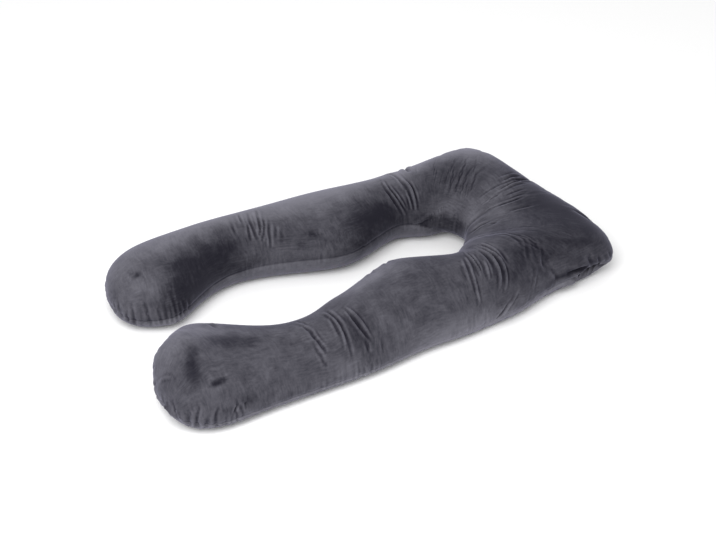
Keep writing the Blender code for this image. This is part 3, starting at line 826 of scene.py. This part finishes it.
def soft_mean(values, spread, axis, periodic):
    """Gaussian mean of a grid along one axis, with the spread in grid steps."""
    reach = int(math.ceil(3.0 * spread))
    weights = np.exp(-0.5 * (np.arange(-reach, reach + 1) / spread) ** 2)
    weights /= weights.sum()
    index = np.arange(values.shape[axis])
    total = np.zeros_like(values)
    for shift, weight in zip(range(-reach, reach + 1), weights):
        moved = index + shift
        moved = np.mod(moved, len(index)) if periodic else np.clip(moved, 0, len(index) - 1)
        total += weight * np.take(values, moved, axis=axis)
    return total


def read_between(values, where, axis, periodic):
    """Reads a grid at fractional steps along one axis, on a smooth curve through its points."""
    values = np.moveaxis(values, axis, 0)
    start = np.floor(where).astype(int)
    part = (where - start).reshape(-1, *[1] * (values.ndim - 1))
    count = len(values)
    before, here, after, beyond = (
        values[np.mod(start + shift, count) if periodic else np.clip(start + shift, 0, count - 1)]
        for shift in (-1, 0, 1, 2)
    )
    curve = 2.0 * before - 5.0 * here + 4.0 * after - beyond
    curve = curve + part * (3.0 * (here - after) + beyond - before)
    return np.moveaxis(here + 0.5 * part * (after - before + part * curve), 0, axis)


def with_tips(grid, first, last):
    """A grid of values as one row, followed by those at the tips of the two toes."""
    return np.concatenate([grid.ravel(), [first, last]])


def sewn_grid():
    """The settled cloth: a grid of points, the place of each ring, the angles round it, and the two tips."""
    places = ring_places()[1:-1]
    girths = np.concatenate([
        180.0 * crowded(TOP_DIVISIONS, TOP_CROWDING),
        180.0 + 180.0 * crowded(UNDER_DIVISIONS, UNDER_CROWDING),
    ])
    along, girth = np.meshgrid(places, girths, indexing="ij")
    along += ring_slope(along) * past_crown(girth)
    shape = along.shape
    along, girth = with_tips(along, -1.0, LAST + 1.0), with_tips(girth, 0.0, 0.0)
    points = roll_surface(along, girth)
    outward = outward_directions(along, girth)
    creases, puckers = crease_push(points), np.zeros(len(points))
    for pucker in PUCKERS:
        add_pucker(points, puckers, pucker)
    for gather in GATHERS:
        add_gather(points, puckers, gather)
    gaps = nearest_gaps(points, np.concatenate([long_line(0.0), long_line(180.0)]))
    ripples = seam_ripples(along, girth, gaps)
    start = points + outward * (
        CREASE_START * (creases + puckers) + RIPPLE_START * ripples
    )[:, None]
    start[:, 2] = np.maximum(start[:, 2], 0.0)
    # The flat pattern: the panels' edges lie further out than the filled outline, and the spare cloth of
    # folds stands up from it.
    tilt = np.arccos(np.clip(np.abs(outward[:, 2]), 0.0, 1.0))
    sideways = outward[:, :2]
    sideways = sideways / np.maximum(np.linalg.norm(sideways, axis=1, keepdims=True), SMALLEST)
    reach = PATTERN_MARGIN * (tilt - np.sin(tilt)) / (math.pi / 2.0 - 1.0)
    pattern = points.copy()
    pattern[:, :2] += sideways * reach[:, None]
    pattern[:, 2] = CREASE_CLOTH * creases + PUCKER_CLOTH * puckers + RIPPLE_CLOTH * ripples
    # The filling holds the underside firmly, the crown a little and the seams not at all.
    top = np.sin(np.radians(girth)) >= 0.0
    crown_hold, under_hold = (
        share * np.clip(gaps / far, 0.0, 1.0) for share, far in (CROWN_HOLD, UNDER_HOLD)
    )
    hold = np.where(top, crown_hold, under_hold)
    moved = settle_cloth(start, pattern, ring_faces(*shape), hold) - points
    # Broad bulging is taken off again, so that the pillow keeps its form.
    grid, plain = moved[:-2].reshape(*shape, 3), points[:-2].reshape(*shape, 3)
    metres = metres_gone(plain[:, TOP_DIVISIONS // 2])
    even = np.arange(0.0, metres[-1], FORM_STEP)
    ring_of_even = np.interp(even, metres, np.arange(shape[0]))
    broad = soft_mean(read_between(grid, ring_of_even, 0, False), FORM_LENGTH / FORM_STEP, 0, False)
    broad = soft_mean(broad, FORM_LENGTH / FORM_ROUND, 1, True)
    grid = grid - read_between(broad, metres / FORM_STEP, 0, False)
    size = np.linalg.norm(grid, axis=2, keepdims=True)
    grid = grid * np.minimum(1.0, MOST_MOVE / np.maximum(size, SMALLEST))
    tips = points[-2:] + grid[[0, -1]].mean(axis=1)
    return plain + grid, places, girths, tips


def cover_mesh(settings):
    """One closed mesh of rings of points, with a point at the tip of each toe."""
    cloth, places, girths, tips = sewn_grid()
    rings, around = cloth.shape[:2]
    # Close rings are divided once more, and every ring is divided more finely.
    steps = np.linalg.norm(np.diff(cloth[:, TOP_DIVISIONS // 2], axis=0), axis=1)
    parts = np.where(steps < CLOSE_STEP, FINER_ALONG, 1)
    ring_where = np.concatenate([ring + np.arange(count) / count for ring, count in enumerate(parts)])
    ring_where = np.append(ring_where, rings - 1.0)
    round_where = np.arange(int(around * FINER_ROUND)) / FINER_ROUND
    cloth = read_between(read_between(cloth, ring_where, 0, False), round_where, 1, True)
    closed = np.concatenate([girths, [360.0]])
    girth = np.tile(np.interp(round_where, np.arange(around + 1), closed), (len(ring_where), 1))
    crown = np.interp(ring_where, np.arange(rings), places)
    along = np.repeat(crown[:, None], len(round_where), axis=1)
    along += ring_slope(along) * past_crown(girth)

    ahead = np.gradient(cloth, axis=0)
    beside = np.roll(cloth, -1, axis=1) - np.roll(cloth, 1, axis=1)
    outward = np.cross(ahead, beside)
    outward /= np.linalg.norm(outward, axis=2, keepdims=True)

    rest = roll_surface(along.ravel(), girth.ravel())
    pressed = CREASE_PRESSED * crease_push(rest) + swelling(along.ravel(), girth.ravel())
    cloth = cloth + outward * pressed.reshape(along.shape)[..., None]

    # How sharply the cloth is folded: below zero in a valley, above it on a ridge.
    back, forth = cloth[1:-1] - cloth[:-2], cloth[2:] - cloth[1:-1]
    near, far = np.linalg.norm(back, axis=2, keepdims=True), np.linalg.norm(forth, axis=2, keepdims=True)
    bend = np.zeros(along.shape)
    bend[1:-1] = -(((forth / far - back / near) / ((near + far) / 2.0)) * outward[1:-1]).sum(axis=2)
    # Painted shade: fold valleys are made darker; ridges are made lighter, partly for the pile spreading
    # there and partly as painted highlight.
    tone = np.tanh(soft_mean(bend, FOLD_BLUR, 0, False) / SHARP_FOLD)

    seam_place = np.interp(180.0 + seam_dip(crown), girth[0], np.arange(len(round_where)))
    column, part = seam_place.astype(int), np.mod(seam_place, 1.0)[:, None]
    ring = np.arange(len(crown))
    inner_seam = (1.0 - part) * cloth[ring, column] + part * cloth[ring, column + 1]
    seam_lines = np.concatenate([cloth[:, 0], inner_seam, tips])
    gaps = nearest_gaps(cloth.reshape(-1, 3), seam_lines).reshape(along.shape)
    groove = np.exp(-(gaps / SEAM_REACH) ** 2)
    # Painted shade in the seam's groove.
    tone -= SEAM_SHADE * groove
    cloth = cloth - outward * (settings.seam_pinch * groove)[..., None]
    cloth[..., 2] = np.maximum(cloth[..., 2], 0.0)

    points = np.concatenate([cloth.reshape(-1, 3), tips])
    mesh = mesh_of("plush_cover", points, ring_faces(*along.shape))
    mesh.validate()
    along, girth = with_tips(along, -1.0, LAST + 1.0), with_tips(girth, 0.0, 0.0)
    tone = with_tips(tone, 0.0, 0.0)
    nap_and_painted_light = mesh.attributes.new("nap_and_painted_light", "FLOAT", "POINT")
    # The attribute holds the pile's patches together with painted shade and highlights from the folds, the
    # seam, some hollows and the under panel.
    level = settings.fold_shade_and_highlight * tone + pile_and_painted_light(along, girth)
    nap_and_painted_light.data.foreach_set("value", level.astype(np.float32))
    # Metres of cloth along and round the roll, so that the pile runs with the cloth.
    corners = np.empty(len(mesh.loops), dtype=np.int32)
    mesh.loops.foreach_get("vertex_index", corners)
    quads = (len(ring_where) - 1) * len(round_where) * 4
    turned = girth[corners]
    faces = turned[:quads].reshape(-1, 4)
    faces += 360.0 * (faces.max(axis=1, keepdims=True) - faces > 180.0)
    cloth_uv = mesh.uv_layers.new(name="cloth")
    metres = np.column_stack([crown_metres(along[corners]), round_metres(turned)])
    cloth_uv.data.foreach_set("uv", metres.astype(np.float32).ravel())
    return mesh


# ---- Materials --------------------------------------------------------------------------------------
def linear(hex_colour):
    """An sRGB hex colour as linear red, green, blue and full opacity."""
    parts = [int(hex_colour[start:start + 2], 16) / 255.0 for start in (1, 3, 5)]
    return (*(part / 12.92 if part <= 0.04045 else ((part + 0.055) / 1.055) ** 2.4 for part in parts), 1.0)


def add_node(tree, kind, inputs=None, links=None, **settings):
    """Adds a node with its settings, input values and links from other nodes' sockets."""
    node = tree.nodes.new(kind)
    for name, value in settings.items():
        setattr(node, name, value)
    for name, value in (inputs or {}).items():
        node.inputs[name].default_value = value
    for name, source in (links or {}).items():
        tree.links.new(source, node.inputs[name])
    return node


def plush_material(colours):
    """Short polyester velboa plush: a dense 1.5 mm pile that looks dark where it is stroked towards the eye
    and pale where it is stroked away, with a soft bright rim where it is seen edge on. The colour read from
    the mesh's attribute also carries painted shade in folds, the seam's groove and some hollows, and painted
    highlights on ridges and along the second arm's top edge."""
    material = bpy.data.materials.new("velboa_plush")
    material.use_nodes = True
    tree = material.node_tree
    tree.nodes.clear()
    place = add_node(tree, "ShaderNodeTexCoord")
    # The attribute carries the pile's patches and, mixed in with them, painted shade and painted highlights.
    nap_and_painted_light = add_node(tree, "ShaderNodeAttribute", attribute_name="nap_and_painted_light")
    # Hands have brushed the pile this way and that: soft blotches 40 mm across, and streaks that run round
    # the roll in some patches and along it in others and bend a little, with short tufts over all.
    bends, patches, blotches, tufts, pile = (
        add_node(
            tree, "ShaderNodeTexNoise",
            inputs={"Scale": 1 / size, "Detail": detail, "Roughness": roughness},
            links={"Vector": place.outputs["Object"]},
        )
        for size, detail, roughness in (
            (BEND_SIZE, 1.0, 0.5), (STREAK_PATCH, 2.0, 0.5), (BLOTCH_SIZE, 3.0, 0.6),
            (TUFT_SIZE, 3.0, 0.6), (PILE_SIZE, 2.0, 0.6),
        )
    )
    off_middle = add_node(
        tree, "ShaderNodeVectorMath", operation="SUBTRACT", inputs={1: (0.5, 0.5, 0.5)},
        links={0: bends.outputs["Color"]},
    )
    bent = add_node(
        tree, "ShaderNodeVectorMath", operation="MULTIPLY_ADD",
        inputs={1: (STREAK_BEND, STREAK_BEND, 0.0)},
        links={0: off_middle.outputs["Vector"], 2: place.outputs["UV"]},
    )
    streaks = []
    for across, along in (STREAK_SIZE, reversed(STREAK_SIZE)):
        brushed = add_node(
            tree, "ShaderNodeMapping", inputs={"Scale": (1 / across, 1 / along, 1.0)},
            links={"Vector": bent.outputs["Vector"]},
        )
        streaks.append(add_node(
            tree, "ShaderNodeTexNoise", inputs={"Scale": 1.0, "Detail": 4.0, "Roughness": 0.6},
            links={"Vector": brushed.outputs["Vector"]},
        ))
    either = add_node(
        tree, "ShaderNodeMapRange", interpolation_type="SMOOTHSTEP",
        inputs={"From Min": STREAK_TURNS[0], "From Max": STREAK_TURNS[1]},
        links={"Value": patches.outputs["Fac"]},
    )
    brushing = add_node(
        tree, "ShaderNodeMix", data_type="FLOAT",
        links={0: either.outputs["Result"], 2: streaks[0].outputs["Fac"], 3: streaks[1].outputs["Fac"]},
    )
    level = nap_and_painted_light.outputs["Fac"]
    for share, layer in (
        (BRUSHING, brushing.outputs[0]), (BLOTCHES, blotches.outputs["Fac"]), (TUFTS, tufts.outputs["Fac"]),
    ):
        level = add_node(
            tree, "ShaderNodeMath", operation="MULTIPLY_ADD",
            inputs={1: share}, links={0: layer, 2: level},
        ).outputs["Value"]
    for mark in MARKS:
        centre = (float(crown_metres(mark.along)), round_metres(mark.girth), 0.0)
        spot = add_node(
            tree, "ShaderNodeMapping", vector_type="TEXTURE",
            inputs={
                "Location": centre, "Rotation": (0.0, 0.0, math.radians(mark.turn)),
                "Scale": (mark.length, mark.breadth, 1.0),
            },
            links={"Vector": place.outputs["UV"]},
        )
        away = add_node(
            tree, "ShaderNodeVectorMath", operation="LENGTH", links={"Vector": spot.outputs["Vector"]},
        )
        pressed = add_node(
            tree, "ShaderNodeMapRange", interpolation_type="SMOOTHSTEP",
            inputs={
                "From Min": MARK_EDGE[0], "From Max": MARK_EDGE[1], "To Min": mark.tone, "To Max": 0.0,
            },
            links={"Value": away.outputs["Value"]},
        )
        level = add_node(
            tree, "ShaderNodeMath", operation="ADD", links={0: level, 1: pressed.outputs["Result"]},
        ).outputs["Value"]
    spread = add_node(
        tree, "ShaderNodeMapRange", interpolation_type="SMOOTHSTEP",
        inputs={"From Min": DARKEST, "From Max": LIGHTEST}, links={"Value": level},
    )
    colour = add_node(
        tree, "ShaderNodeMix", data_type="RGBA",
        inputs={6: tuple(colours.dark) + (1.0,), 7: tuple(colours.light) + (1.0,)},
        links={0: spread.outputs["Result"]},
    )
    # The pile itself, drawn in points 2.2 mm across, a little coarser than real ones so that they show.
    bump = add_node(
        tree, "ShaderNodeBump", inputs={"Strength": 0.35, "Distance": 0.0006},
        links={"Height": pile.outputs["Fac"]},
    )
    shader = add_node(
        tree, "ShaderNodeBsdfPrincipled",
        inputs={
            "Roughness": 0.9, "Metallic": 0.0, "Specular IOR Level": 0.15,
            "Sheen Weight": 0.6, "Sheen Roughness": 0.42, "Sheen Tint": linear("#9a99ad"),
        },
        links={"Base Color": colour.outputs[2], "Normal": bump.outputs["Normal"]},
    )
    add_node(tree, "ShaderNodeOutputMaterial", links={"Surface": shader.outputs["BSDF"]})
    return material


def floor_material(studio):
    """Matt white vinyl backdrop, seamless, which gives a soft even ground."""
    material = bpy.data.materials.new("matt_vinyl_backdrop")
    material.use_nodes = True
    shader = material.node_tree.nodes["Principled BSDF"]
    shader.inputs["Base Color"].default_value = tuple(studio.floor) + (1.0,)
    shader.inputs["Roughness"].default_value = 0.9
    shader.inputs["Specular IOR Level"].default_value = 0.1
    return material


# ---- Settings, operators and panel ------------------------------------------------------------------
FLOOR_SIZE = 30.0         # metres, as for all the places and sizes here
SOFTBOX_SIZE = (2.4, 2.4)
SOFTBOX_PLACE = (-1.6, -1.4, 2.6)
CAMERA_AZIMUTH = -29.6    # degrees round from straight in front, and above the floor
CAMERA_ELEVATION = 35.48
CAMERA_DISTANCE = 4.839
CAMERA_TARGET = (0.00612, 0.00047, 0.07)


class BODYPILLOW_PG_cover(bpy.types.PropertyGroup):
    """Sizes and colours of the plush cover."""
    seam_pinch: bpy.props.FloatProperty(
        name="Seam depth", description="How far the joining seam draws the cloth in",
        default=0.0030, min=0.0, max=0.02, unit="LENGTH",
    )
    # Painted shade in fold valleys and painted highlight on ridges, with some real spreading of the pile.
    fold_shade_and_highlight: bpy.props.FloatProperty(
        name="Fold shading", description="How much lighter the pile is on ridges and darker in valleys",
        default=0.6, min=0.0, max=3.0,
    )
    dark: bpy.props.FloatVectorProperty(
        name="Dark pile", description="Colour of the pile stroked towards the eye",
        default=linear("#15141d")[:3], min=0.0, max=1.0, subtype="COLOR",
    )
    light: bpy.props.FloatVectorProperty(
        name="Light pile", description="Colour of the pile stroked away from the eye",
        default=linear("#6e6d75")[:3], min=0.0, max=1.0, subtype="COLOR",
    )


class BODYPILLOW_PG_studio(bpy.types.PropertyGroup):
    """Floor, light and camera."""
    floor: bpy.props.FloatVectorProperty(
        name="Floor", description="Colour of the backdrop",
        default=(0.95, 0.95, 0.95), min=0.0, max=1.0, subtype="COLOR",
    )
    key_power: bpy.props.FloatProperty(
        name="Key light", description="Power of the large softbox", default=90.0, min=0.0, unit="POWER",
    )
    fill: bpy.props.FloatProperty(
        name="Fill light", description="Brightness of the white room around", default=0.85, min=0.0,
    )
    lens: bpy.props.FloatProperty(
        name="Lens", description="Focal length of the camera", default=0.0843, min=0.01, unit="CAMERA",
    )


class BODYPILLOW_OT_cover(bpy.types.Operator):
    """Make the filled plush roll, with its seam, puckers and creases"""
    bl_idname = "body_pillow.cover"
    bl_label = "Plush cover"

    def execute(self, context):
        settings = context.scene.body_pillow_cover
        mesh = cover_mesh(settings)
        mesh.shade_smooth()
        mesh.materials.append(plush_material(settings))
        cover = put_in_scene("plush_cover", mesh)
        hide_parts("pillow")
        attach(cover, "root")
        return {"FINISHED"}


class BODYPILLOW_OT_studio(bpy.types.Operator):
    """Lay the floor, hang the lights and set the camera"""
    bl_idname = "body_pillow.studio"
    bl_label = "Studio"

    def execute(self, context):
        studio = context.scene.body_pillow_studio
        corners = FLOOR_SIZE / 2.0 * np.array([(-1, -1, 0), (1, -1, 0), (1, 1, 0), (-1, 1, 0)])
        mesh = mesh_of("floor", corners, [(0, 1, 2, 3)])
        mesh.materials.append(floor_material(studio))
        floor = put_in_scene("floor", mesh)

        world = bpy.data.worlds.new("white_room")
        world.use_nodes = True
        world.node_tree.nodes["Background"].inputs["Color"].default_value = (1.0, 1.0, 1.0, 1.0)
        world.node_tree.nodes["Background"].inputs["Strength"].default_value = studio.fill
        context.scene.world = world

        key = bpy.data.lights.new("softbox", "AREA")
        key.shape = "RECTANGLE"
        key.size, key.size_y = SOFTBOX_SIZE
        key.energy = studio.key_power
        lamp = put_in_scene("softbox", key)
        lamp.location = SOFTBOX_PLACE
        lamp.rotation_euler = (-lamp.location).to_track_quat("-Z", "Y").to_euler()

        azimuth, elevation = math.radians(CAMERA_AZIMUTH), math.radians(CAMERA_ELEVATION)
        target = Vector(CAMERA_TARGET)
        towards = Vector((
            math.sin(azimuth) * math.cos(elevation),
            -math.cos(azimuth) * math.cos(elevation),
            math.sin(elevation),
        ))
        lens = bpy.data.cameras.new("camera")
        lens.sensor_width = 36.0
        lens.lens = studio.lens * 1000.0
        lens.clip_end = 50.0
        camera = put_in_scene("camera", lens)
        camera.location = target + towards * CAMERA_DISTANCE
        camera.rotation_euler = (-towards).to_track_quat("-Z", "Y").to_euler()
        context.scene.camera = camera
        context.scene.view_settings.view_transform = "Standard"
        return {"FINISHED"}


class BODYPILLOW_PT_parts(bpy.types.Panel):
    """Buttons for each part of the body pillow"""
    bl_idname = "BODYPILLOW_PT_parts"
    bl_label = "Body pillow"
    bl_space_type = "VIEW_3D"
    bl_region_type = "UI"
    bl_category = "Body pillow"

    def draw(self, context):
        for group, operator in (
            (context.scene.body_pillow_cover, BODYPILLOW_OT_cover),
            (context.scene.body_pillow_studio, BODYPILLOW_OT_studio),
        ):
            box = self.layout.box()
            for name in group.bl_rna.properties.keys():
                if name not in ("rna_type", "name"):
                    box.prop(group, name)
            box.operator(operator.bl_idname)


CLASSES = (
    BODYPILLOW_PG_cover, BODYPILLOW_PG_studio, BODYPILLOW_OT_cover, BODYPILLOW_OT_studio, BODYPILLOW_PT_parts,
)


def register():
    for cls in CLASSES:
        bpy.utils.register_class(cls)
    bpy.types.Scene.body_pillow_cover = bpy.props.PointerProperty(type=BODYPILLOW_PG_cover)
    bpy.types.Scene.body_pillow_studio = bpy.props.PointerProperty(type=BODYPILLOW_PG_studio)


def unregister():
    del bpy.types.Scene.body_pillow_cover
    del bpy.types.Scene.body_pillow_studio
    for cls in reversed(CLASSES):
        bpy.utils.unregister_class(cls)


def main():
    register()
    bpy.ops.body_pillow.cover()
    bpy.ops.body_pillow.studio()


if __name__ == "__main__":
    main()
